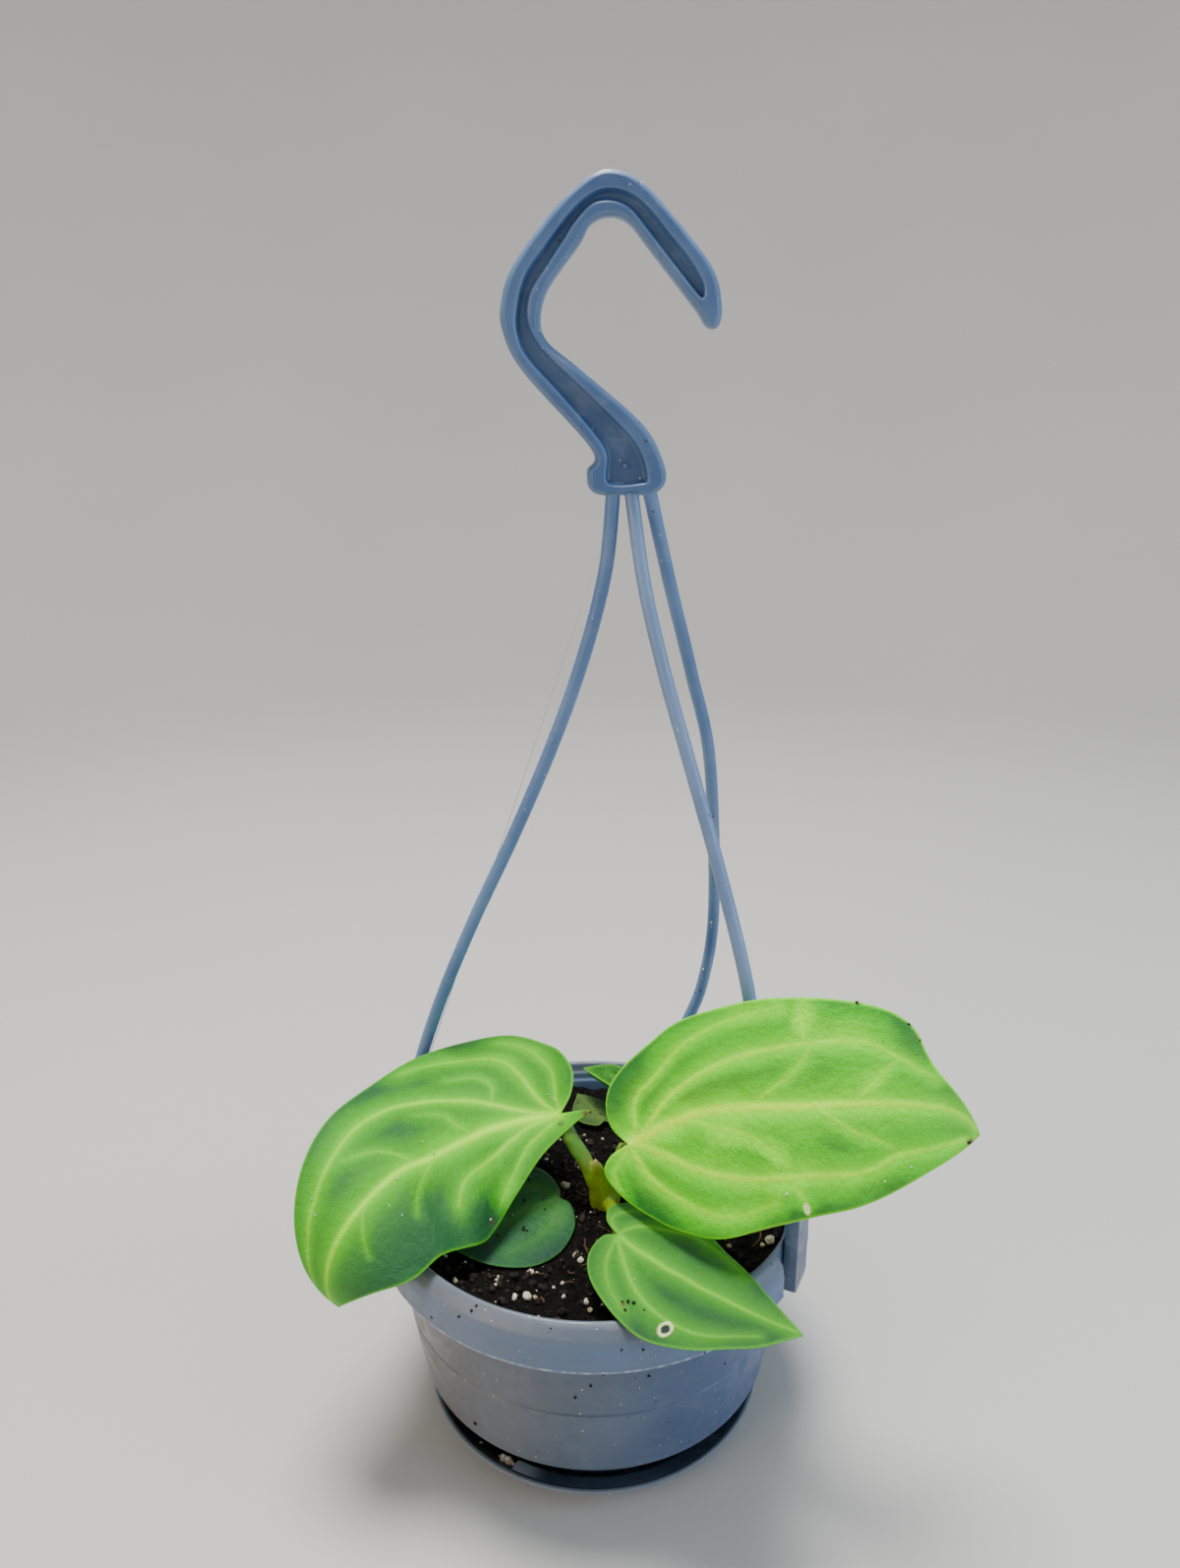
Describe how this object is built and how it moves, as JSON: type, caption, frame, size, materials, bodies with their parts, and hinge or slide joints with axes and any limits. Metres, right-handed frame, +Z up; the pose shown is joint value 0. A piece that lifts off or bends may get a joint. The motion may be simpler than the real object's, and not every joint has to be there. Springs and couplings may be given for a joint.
{
  "type": "potted aroid plant",
  "caption": "Young aroid with heart-shaped veined leaves in a round plastic hanging pot on a clip-on saucer, with a three-strand hanger and a flat hook.",
  "frame": {"origin": "centre of the saucer's flat underside, on the floor plane", "axes": "+Z up along the pot's axis, +X to the right seen from the front, +Y away from the front"},
  "size_m": [0.1665, 0.1268, 0.3256],
  "materials": {
    "leaf_bright": "satin",
    "leaf_mid": "satin",
    "leaf_dark": "satin",
    "leaf_dull": "matte",
    "stem": "satin",
    "soil": "matte",
    "pot": "satin",
    "saucer": "satin",
    "hanger": "satin"
  },
  "bodies": {
    "root": {"leaf_right": "leaf_bright", "leaf_left": "leaf_mid", "leaf_front": "leaf_dark", "leaf_small": "leaf_dark", "leaf_back": "leaf_dark", "leaf_old": "leaf_dull", "stem_crown": "stem", "shoot_back": "stem", "shoot_small": "stem", "soil": "soil", "pot": "pot", "saucer": "saucer", "hanger_hook": "hanger", "hanger_strand_left": "hanger", "hanger_strand_front": "hanger", "hanger_strand_back": "hanger"}
  },
  "joints": []
}
